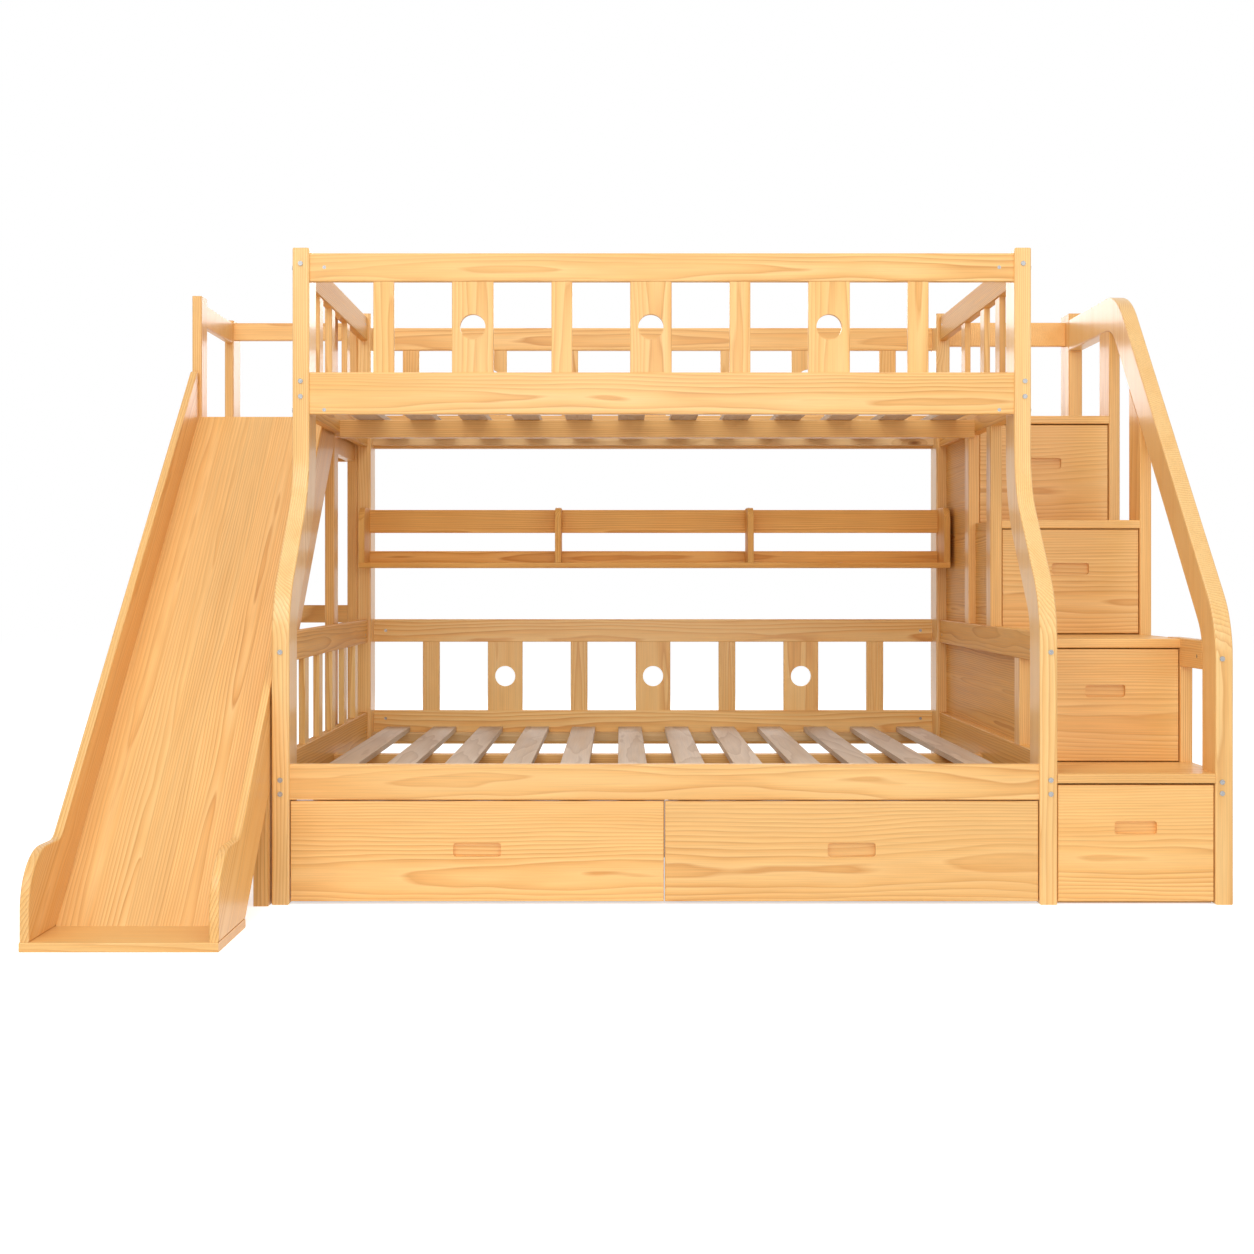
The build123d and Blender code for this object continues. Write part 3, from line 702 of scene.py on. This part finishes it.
        shader = graph.node("ShaderNodeBsdfPrincipled")
        graph.feed(shader.inputs["Base Color"], colour)
        graph.feed(shader.inputs["Roughness"], graph.scale(fibre, Span(
            *figure.usual, tones.roughness - figure.smoother, tones.roughness + figure.rougher)))
        shader.inputs["Specular IOR Level"].default_value = tones.specular
        shader.inputs["Coat Weight"].default_value = tones.coat
        shader.inputs["Coat Roughness"].default_value = figure.varnish
        graph.bump(
            shader, graph.number("ADD", fibre, rings), figure.relief, figure.relief_depth)
        graph.close(shader.outputs[0])
        return material


@dataclass(frozen=True)
class PlatedSteel:
    """The bright metal of the bolts and cross dowels.

    Attributes:
        fineness: Scale of its grain.
        layers: How many finer layers the grain has.
        dull: The grain's darker grey and its place in the grain.
        bright: The lighter grey and its place.
        sheen: How the grain sets the roughness.
    """

    fineness: float = 900.0
    layers: float = 2.0
    dull: Tuple[float, Shade] = (0.35, (138, 138, 137))
    bright: Tuple[float, Shade] = (0.65, (176, 176, 175))
    sheen: Span = Span(0.3, 0.7, 0.22, 0.36)

    def make(self) -> bpy.types.Material:
        """Makes the material.

        Returns:
            The new material.
        """
        material = bpy.data.materials.new("plated_steel")
        graph = Graph(material)
        grain = graph.noise(graph.coords(), self.fineness, self.layers)
        shader = graph.node("ShaderNodeBsdfPrincipled")
        graph.feed(shader.inputs["Base Color"], graph.ramp(grain, [
            (stop, srgb(*shade)) for stop, shade in (self.dull, self.bright)]))
        shader.inputs["Metallic"].default_value = 1.0
        graph.feed(shader.inputs["Roughness"], graph.scale(grain, self.sheen))
        graph.close(shader.outputs[0])
        return material


@dataclass(frozen=True)
class WheelPlastic:
    """The dark plastic of the drawer wheels.

    Attributes:
        fineness: Scale of its specks.
        layers: How many finer layers the specks have.
        dark: The specks' darker grey and its place among them.
        light: The lighter grey and its place.
        sheen: How the specks set the roughness.
        relief: Share of the relief that shows.
        relief_depth: Its depth, in metres.
    """

    fineness: float = 600.0
    layers: float = 3.0
    dark: Tuple[float, Shade] = (0.3, (38, 38, 41))
    light: Tuple[float, Shade] = (0.7, (58, 58, 61))
    sheen: Span = Span(0.3, 0.7, 0.45, 0.6)
    relief: float = 0.2
    relief_depth: float = 0.0003

    def make(self) -> bpy.types.Material:
        """Makes the material.

        Returns:
            The new material.
        """
        material = bpy.data.materials.new("wheel_plastic")
        graph = Graph(material)
        speck = graph.noise(graph.coords(), self.fineness, self.layers)
        shader = graph.node("ShaderNodeBsdfPrincipled")
        graph.feed(shader.inputs["Base Color"], graph.ramp(speck, [
            (stop, srgb(*shade)) for stop, shade in (self.dark, self.light)]))
        graph.feed(shader.inputs["Roughness"], graph.scale(speck, self.sheen))
        graph.bump(shader, speck, self.relief, self.relief_depth)
        graph.close(shader.outputs[0])
        return material


@dataclass
class Assembly:
    """A group of nodes that is dressed together.

    Attributes:
        nodes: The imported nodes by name.
        wood: Makes the wood materials.
    """

    nodes: Dict[str, bpy.types.Object]
    wood: WoodMaker

    def dress(self) -> None:
        """Dresses the group's nodes."""
        raise NotImplementedError

    def assign(self, name: str, material: bpy.types.Material) -> None:
        """Puts one material on a node.

        Args:
            name: The node's name.
            material: Its material.
        """
        data = self.nodes[name].data
        data.materials.clear()
        data.materials.append(material)
        LOG.info("%s: %s in %s", type(self).__name__, name, material.name)

    def boards(self, name: str, grain: Grain, tones: Tones, pith: Triple, x: Run = ALONE,
               y: Run = ALONE, z: Run = ALONE, ring: float = RING) -> None:
        """Dresses a node of boards that repeat.

        Args:
            name: The node's name.
            grain: The way of the fibres.
            tones: The wood's finish.
            pith: Where the tree's middle lies from each cell's middle.
            x: How the boards repeat along X.
            y: How they repeat along Y.
            z: How they repeat along Z.
            ring: Distance from ring to ring, in metres.
        """
        seed = float(sum(ord(letter) for letter in name) % SEEDS)
        board = Board("pine_" + name, grain, tones, seed, pith, (x, y, z), ring)
        self.assign(name, self.wood.get(board))

    def whole(self, name: str, grain: Grain, tones: Tones = VARNISHED, below: float = 0.0,
              behind: float = 0.12, side: float = 0.0, ring: float = RING) -> None:
        """Dresses a node that is one board.

        Args:
            name: The node's name.
            grain: The way of the fibres.
            tones: The wood's finish.
            below: How far under the board's middle the pith lies, in metres.
            behind: How far behind it.
            side: How far to its right.
            ring: Distance from ring to ring, in metres.
        """
        low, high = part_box(name)
        mid = (low + high) / 2
        pith = (mid.x + side, mid.y + behind, mid.z - below)
        if grain is Grain.ALONG_SLIDE:
            cos = math.cos(-SLIDE_ANGLE)
            sin = math.sin(-SLIDE_ANGLE)
            pith = (pith[0], pith[1] * cos - pith[2] * sin, pith[1] * sin + pith[2] * cos)
        self.boards(name, grain, tones, pith, ring=ring)


@dataclass
class BedFrame(Assembly):
    """The posts, end rails, beams and ledgers that carry both bunks.

    Attributes:
        ends: Cells that part the left end from the right one.
        beam_depth: Cell that holds both centre beams.
        beam_heights: Cells that part the lower beam from the upper one.
        ledger_depth: Cells that part the front ledgers from the rear ones.
        ledger_heights: Cells that part the lower ledgers from the upper ones.
    """

    ends: Run = Run(2.0, -2.0)
    beam_depth: Run = Run(0.1, 0.3325)
    beam_heights: Run = Run(0.9, 0.0)
    ledger_depth: Run = Run(0.5, -2.0)
    ledger_heights: Run = Run(0.5, 0.0)

    def dress(self) -> None:
        """Dresses the posts, end rails, beams and ledgers."""
        for name in ("front_post_left", "front_post_right", "rear_post_left", "rear_post_right"):
            self.whole(name, Grain.ALONG_Z, GLOSSY, behind=0.03, side=0.1)
        for level in ("lower", "upper"):
            for side in ("left", "right"):
                self.whole("%s_end_rail_%s" % (level, side), Grain.ALONG_Y, INNER_PAINTED_SHADE,
                           below=0.03, behind=0.0, side=0.06)
            self.boards(level + "_end_guard_rails", Grain.ALONG_Y, INNER_PAINTED_SHADE,
                        pith=(0.06, 0.0, 0.66), x=self.ends)
        self.boards("center_beams", Grain.ALONG_X, VARNISHED, pith=(0.0, 0.05, 0.0),
                    y=self.beam_depth, z=self.beam_heights)
        self.boards("slat_ledgers", Grain.ALONG_X, BOXWOOD, pith=(0.0, 0.03, 0.03),
                    y=self.ledger_depth, z=self.ledger_heights)


@dataclass
class Bunk(Assembly):
    """What both bunks have: a base of bare slats.

    Attributes:
        base_slats: How they repeat from left to right.
    """

    base_slats: Run = Run(0.16, -0.96)

    def base(self, name: str) -> None:
        """Dresses a node of bare base slats."""
        self.boards(name, Grain.ALONG_Y, BARE_SLAT, pith=(0.0, 0.0, -0.05), x=self.base_slats)


@dataclass
class LowerBunk(Bunk):
    """The rails, guard and base of the lower bunk.

    Attributes:
        guard: How the rear guard slats repeat from left to right.
        end_guard: How the left end's slats repeat from front to back.
    """

    guard: Run = Run(0.256, -1.152)
    end_guard: Run = Run(0.2233, -0.4985)

    def dress(self) -> None:
        """Dresses the lower bunk."""
        self.whole("lower_front_rail", Grain.ALONG_X, below=0.02, behind=0.07)
        for name in ("lower_rear_rail", "lower_rear_guard_rail"):
            self.whole(name, Grain.ALONG_X, PALER, below=0.02, behind=0.07)
        self.boards("lower_guard_slats", Grain.ALONG_Z, PALER, pith=(0.0, 0.09, 0.0),
                    x=self.guard, y=self.end_guard)
        self.boards("lower_wide_slats", Grain.ALONG_Z, PALER, pith=(0.02, 0.05, 0.0),
                    x=self.guard)
        self.base("lower_slats")


@dataclass
class UpperBunk(Bunk):
    """The rails, guards and base of the upper bunk.

    Attributes:
        guard: How the guard slats repeat from left to right.
        end_guard: How the end slats repeat from front to back.
        guard_depth: Cells that part the front guard from the rear one.
    """

    guard: Run = Run(0.2444, -1.130)
    end_guard: Run = Run(0.21, -0.276)
    guard_depth: Run = Run(0.9, -0.6)

    def dress(self) -> None:
        """Dresses the upper bunk."""
        for name in (
            "upper_front_rail", "upper_rear_rail", "upper_front_guard_rail",
            "upper_rear_guard_rail",
        ):
            self.whole(name, Grain.ALONG_X, below=0.02, behind=0.07)
        self.boards("upper_guard_slats", Grain.ALONG_Z, VARNISHED, pith=(0.02, 0.09, 0.0),
                    x=self.guard, y=self.end_guard)
        self.boards("upper_wide_slats", Grain.ALONG_Z, VARNISHED, pith=(0.02, 0.05, 0.0),
                    x=self.guard, y=self.guard_depth)
        self.base("upper_slats")


@dataclass
class WallShelf(Assembly):
    """The shelf between the rear posts.

    Attributes:
        depth: Cells that part the shelf's boards from front to back.
        heights: Cells that part them upwards.
        brackets: How the brackets repeat from left to right.
    """

    depth: Run = Run(0.15, 0.8075)
    heights: Run = Run(0.11, 0.66)
    brackets: Run = Run(0.3, -1.15)

    def dress(self) -> None:
        """Dresses the shelf."""
        self.boards("shelf_board", Grain.ALONG_X, INNER_PAINTED_SHADE, pith=(0.0, 0.07, -0.03),
                    y=self.depth, z=self.heights)
        self.boards("shelf_brackets", Grain.ALONG_Z, INNER_PAINTED_SHADE, pith=(0.0, 0.9, 0.0),
                    x=self.brackets)


@dataclass
class Drawers(Assembly):
    """The two drawers under the bed and the four in the staircase.

    Attributes:
        under_half: Half the height of a front under the bed, in metres.
        stair_half: Half the height of a front in the staircase.
        stair_count: How many drawers the staircase has.
        front_ring: Distance from ring to ring in the fronts.
        front_margin: How far a front's cell reaches past it.
        pith_behind: How far behind a front the pith lies.
        pith_below: How far below the middle it lies, as a share of half the height.
        box_board: Height of one board of a drawer's box.
    """

    under_half: float = 0.129
    stair_half: float = 0.15
    stair_count: int = 4
    front_ring: float = 0.006
    front_margin: float = 0.001
    pith_behind: float = 0.13
    pith_below: float = 0.35
    box_board: float = 0.1

    def dress(self) -> None:
        """Dresses the fronts, boxes and wheels."""
        for side in ("left", "right"):
            self._front("under_drawer_front_" + side, self.under_half)
            self._box("under_drawer_box_" + side)
        for step in range(1, self.stair_count + 1):
            self._front("stair_drawer_front_%d" % step, self.stair_half)
            self._box("stair_drawer_box_%d" % step)
        plastic = WheelPlastic().make()
        for name in self.nodes:
            if "wheels" in name:
                self.assign(name, plastic)

    def _front(self, name: str, half: float) -> None:
        """Dresses a drawer front with a flowing figure.

        Args:
            name: The node's name.
            half: Half the front's height, in metres.
        """
        low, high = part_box(name)
        mid = (low + high) / 2
        height = Run(high.z - low.z + 2 * self.front_margin, low.z - self.front_margin)
        pith = (mid.x, mid.y + self.pith_behind, -half * self.pith_below)
        self.boards(name, Grain.ALONG_X, VARNISHED, pith, z=height, ring=self.front_ring)

    def _box(self, name: str) -> None:
        """Dresses a drawer's box.

        Args:
            name: The node's name.
        """
        low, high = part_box(name)
        self.boards(name, Grain.ALONG_Y, BOXWOOD, pith=((low.x + high.x) / 2, 0.0, 0.02),
                    z=Run(self.box_board, low.z))


@dataclass
class Staircase(Assembly):
    """The staircase's handrail, posts, panels, treads and runners.

    Attributes:
        posts: How its posts and stiles repeat from front to back.
        rails: How its side rails repeat upwards.
        panel_boards: How the panels' glued boards repeat upwards.
        panel_sides: Cells that part the panels from left to right.
        tread_boards: How the treads' glued boards repeat from front to back.
        steps: How the treads repeat upwards.
        runner_sides: Cells that part the runners from left to right.
    """

    posts: Run = Run(0.32, -0.53)
    rails: Run = Run(0.45, 0.05)
    panel_boards: Run = Run(0.11, 0.0)
    panel_sides: Run = Run(0.2, -0.1)
    tread_boards: Run = Run(0.12, -0.4975)
    steps: Run = Run(0.3375, -0.3)
    runner_sides: Run = Run(0.2, 0.0)

    def dress(self) -> None:
        """Dresses the staircase."""
        self.whole("stair_handrail", Grain.ALONG_Z, GLOSSY, behind=0.1, side=0.08)
        for name in ("stair_outer_posts", "stair_inner_stiles"):
            self.boards(name, Grain.ALONG_Z, VARNISHED, pith=(0.04, 0.05, 0.0), y=self.posts)
        self.boards("stair_side_rails", Grain.ALONG_Y, VARNISHED, pith=(1.4, 0.0, 0.05),
                    z=self.rails)
        self.boards("stair_panels", Grain.ALONG_Y, INNER_PAINTED_SHADE, pith=(0.0, 0.0, 0.03),
                    x=self.panel_sides, z=self.panel_boards)
        self.boards("stair_treads", Grain.ALONG_X, VARNISHED, pith=(0.0, 0.03, -0.05),
                    y=self.tread_boards, z=self.steps)
        self.boards("stair_runners", Grain.ALONG_Y, BOXWOOD, pith=(0.0, 0.0, 0.0),
                    x=self.runner_sides)


@dataclass
class SlideTower(Assembly):
    """The slide and the platform at its top.

    Attributes:
        strips: How the chute's glued strips repeat from left to right.
        strip_ring: Distance from ring to ring in the strips, in metres.
        strip_pith: How far beside a strip's middle its pith lies.
        chute_height: The chute's height once the slide is turned level.
        chute_pith: How far under that the pith lies.
        side_ring: Distance from ring to ring in the side boards.
        legs: How legs, posts and bearers repeat from left to right.
        post_depth: How the platform's posts repeat from front to back.
        bearer_depth: How its bearers repeat from front to back.
        deck_boards: How the deck's boards repeat from front to back.
        guard_depth: Cell that holds its guard rails from front to back.
        guard_heights: How its guard rails repeat upwards.
    """

    strips: Run = Run(0.0808, -1.441)
    strip_ring: float = 0.006
    strip_pith: float = 0.045
    chute_height: float = 0.624
    chute_pith: float = 0.035
    side_ring: float = 0.007
    legs: Run = Run(0.3, -1.6)
    post_depth: Run = Run(0.4, 0.3)
    bearer_depth: Run = Run(0.2, 0.4)
    deck_boards: Run = Run(0.1, 0.5)
    guard_depth: Run = Run(0.9, 0.0)
    guard_heights: Run = Run(0.5, 0.3)

    def dress(self) -> None:
        """Dresses the slide and the platform."""
        for name in ("slide_side_left", "slide_side_right"):
            self.whole(name, Grain.ALONG_SLIDE, behind=0.0, side=0.08, ring=self.side_ring)
        self.boards("slide_chute", Grain.ALONG_SLIDE, VARNISHED,
                    pith=(self.strip_pith, 0.0, self.chute_height - self.chute_pith),
                    x=self.strips, ring=self.strip_ring)
        self.whole("slide_foot_board", Grain.ALONG_X, below=0.05)
        self.boards("slide_supports", Grain.ALONG_Z, VARNISHED, pith=(0.03, -0.4, 0.0),
                    x=self.legs)
        self.boards("platform_posts", Grain.ALONG_Z, VARNISHED, pith=(0.05, 0.05, 0.0),
                    x=self.legs, y=self.post_depth)
        self.boards("platform_bearers", Grain.ALONG_X, VARNISHED, pith=(0.0, 0.05, 1.2),
                    x=self.legs, y=self.bearer_depth)
        self.boards("platform_deck", Grain.ALONG_X, VARNISHED, pith=(0.0, 0.03, 1.28),
                    y=self.deck_boards)
        self.boards("platform_guard_rails", Grain.ALONG_X, VARNISHED, pith=(0.0, 0.3, 0.2),
                    y=self.guard_depth, z=self.guard_heights)


@dataclass
class Fittings(Assembly):
    """The bolts and cross dowels."""

    def dress(self) -> None:
        """Dresses the bolts and cross dowels."""
        self.assign("bolts", PlatedSteel().make())


@dataclass(frozen=True)
class Lamp:
    """One large soft lamp.

    Attributes:
        name: The lamp's name.
        place: Where it hangs, in metres.
        aim: Where it points.
        size: Its side.
        power: Its power, in watts.
    """

    name: str
    place: Triple
    aim: Triple
    size: float
    power: float

    def hang(self) -> None:
        """Adds the lamp to the studio."""
        bpy.ops.object.light_add(type="AREA", location=self.place)
        lamp = bpy.context.object
        lamp.name = self.name
        lamp.data.size = self.size
        lamp.data.energy = self.power
        way = Vector(self.aim) - Vector(self.place)
        lamp.rotation_euler = way.to_track_quat("-Z", "Y").to_euler()


@dataclass(frozen=True)
class View:
    """The camera that matches the picture.

    Attributes:
        side: Its place from left to right, in metres.
        distance: Its distance from the bed's front line.
        height: Its height over the floor.
        focus: Its focal length, in picture pixels.
        picture: The picture's width, in pixels.
        shift: How far the view is shifted aside and up, in picture pixels.
        sensor: The sensor's width, in millimetres.
        reach: How far it sees, in metres.
    """

    side: float = -0.1144
    distance: float = 4.438
    height: float = 0.8357
    focus: float = 1726.0
    picture: float = 1254.0
    shift: Tuple[float, float] = (7.0, -47.0)
    sensor: float = 36.0
    reach: float = 100.0

    def set_up(self) -> None:
        """Adds the camera and makes it the scene's own."""
        place = (self.side, -self.distance - MIDDLE_DEPTH, self.height)
        bpy.ops.object.camera_add(location=place)
        camera = bpy.context.object
        camera.name = "camera"
        camera.rotation_euler = (math.pi / 2, 0.0, 0.0)
        camera.data.sensor_width = self.sensor
        camera.data.lens = self.sensor * self.focus / self.picture
        camera.data.shift_x = self.shift[0] / self.picture
        camera.data.shift_y = self.shift[1] / self.picture
        camera.data.clip_end = self.reach
        bpy.context.scene.camera = camera


@dataclass
class Studio:
    """The floor, the light and the camera.

    Attributes:
        floor_side: The floor's side, in metres.
        floor_tone: Its grey, as a linear value.
        floor_glow: How much whiter it looks than it lights.
        surround: How strongly the white surround lights the bed.
        lamps: The lamps.
        view: The camera.
    """

    floor_side: float = 40.0
    floor_tone: float = 0.9
    floor_glow: float = 0.62
    surround: float = 0.42
    lamps: Tuple[Lamp, ...] = (
        Lamp("key", place=(-2.6, -4.6, 4.2), aim=(0.0, 0.0, 0.8), size=2.8, power=92.0),
        Lamp("fill", place=(3.6, -4.8, 2.6), aim=(0.2, 0.0, 0.8), size=3.0, power=44.0),
        Lamp("front", place=(0.0, -9.0, 1.6), aim=(0.0, 0.6, 0.8), size=3.0, power=132.0),
        Lamp("top", place=(0.0, -1.7, 4.8), aim=(0.0, 0.0, 0.6), size=3.4, power=66.0),
        Lamp("rear", place=(0.0, 6.5, 3.4), aim=(0.0, 0.0, 0.8), size=3.0, power=90.0),
    )
    view: View = View()

    def build(self) -> None:
        """Makes the whole studio."""
        self._floor()
        self._world()
        for lamp in self.lamps:
            lamp.hang()
        self.view.set_up()

    def _floor(self) -> None:
        """Lays a plain white floor that keeps the bed's shadow."""
        bpy.ops.mesh.primitive_plane_add(size=self.floor_side, location=(0.0, 0.0, 0.0))
        floor = bpy.context.object
        floor.name = "studio_floor"
        material = bpy.data.materials.new("studio_floor")
        graph = Graph(material)
        diffuse = graph.node("ShaderNodeBsdfDiffuse")
        diffuse.inputs["Color"].default_value = (self.floor_tone,) * 3 + (1.0,)
        glow = graph.node("ShaderNodeEmission")
        glow.inputs["Color"].default_value = WHITE
        glow.inputs["Strength"].default_value = self.floor_glow
        lifted = graph.node("ShaderNodeAddShader")
        graph.feed(lifted.inputs[0], diffuse.outputs[0])
        graph.feed(lifted.inputs[1], glow.outputs[0])
        graph.close(graph.mix(graph.seen(), diffuse.outputs[0], lifted.outputs[0]))
        floor.data.materials.append(material)
        floor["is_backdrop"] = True

    def _world(self) -> None:
        """Sets a white surround that lights the bed gently."""
        world = bpy.data.worlds.new("studio")
        bpy.context.scene.world = world
        graph = Graph(world)
        shades: List[Socket] = []
        for strength in (self.surround, 1.0):
            shade = graph.node("ShaderNodeBackground")
            shade.inputs["Color"].default_value = WHITE
            shade.inputs["Strength"].default_value = strength
            shades.append(shade.outputs[0])
        mixed = graph.mix(graph.seen(), shades[0], shades[1])
        graph.close(mixed, "ShaderNodeOutputWorld")


@dataclass
class SizeNote:
    """Keeps the CAD box.

    Attributes:
        cad: The CAD box, once it is noted.
    """

    cad: Optional[Tuple[Vector, Vector]] = None

    def before(self) -> None:
        """Notes the CAD box."""
        self.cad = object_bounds()

    def write(self) -> None:
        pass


def main() -> None:
    """Loads the frame, dresses the bed and sets the studio."""
    logging.basicConfig(level=logging.INFO)
    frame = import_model()
    note = SizeNote()
    note.before()
    bpy.context.scene.view_settings.view_transform = "Standard"
    wood = WoodMaker()
    for assembly in (
        BedFrame, LowerBunk, UpperBunk, WallShelf, Drawers, Staircase, SlideTower, Fittings,
    ):
        assembly(frame["nodes"], wood).dress()
    Studio().build()
    note.write()
    LOG.info("dressed %d nodes", len(frame["nodes"]))


if __name__ == "__main__":
    main()
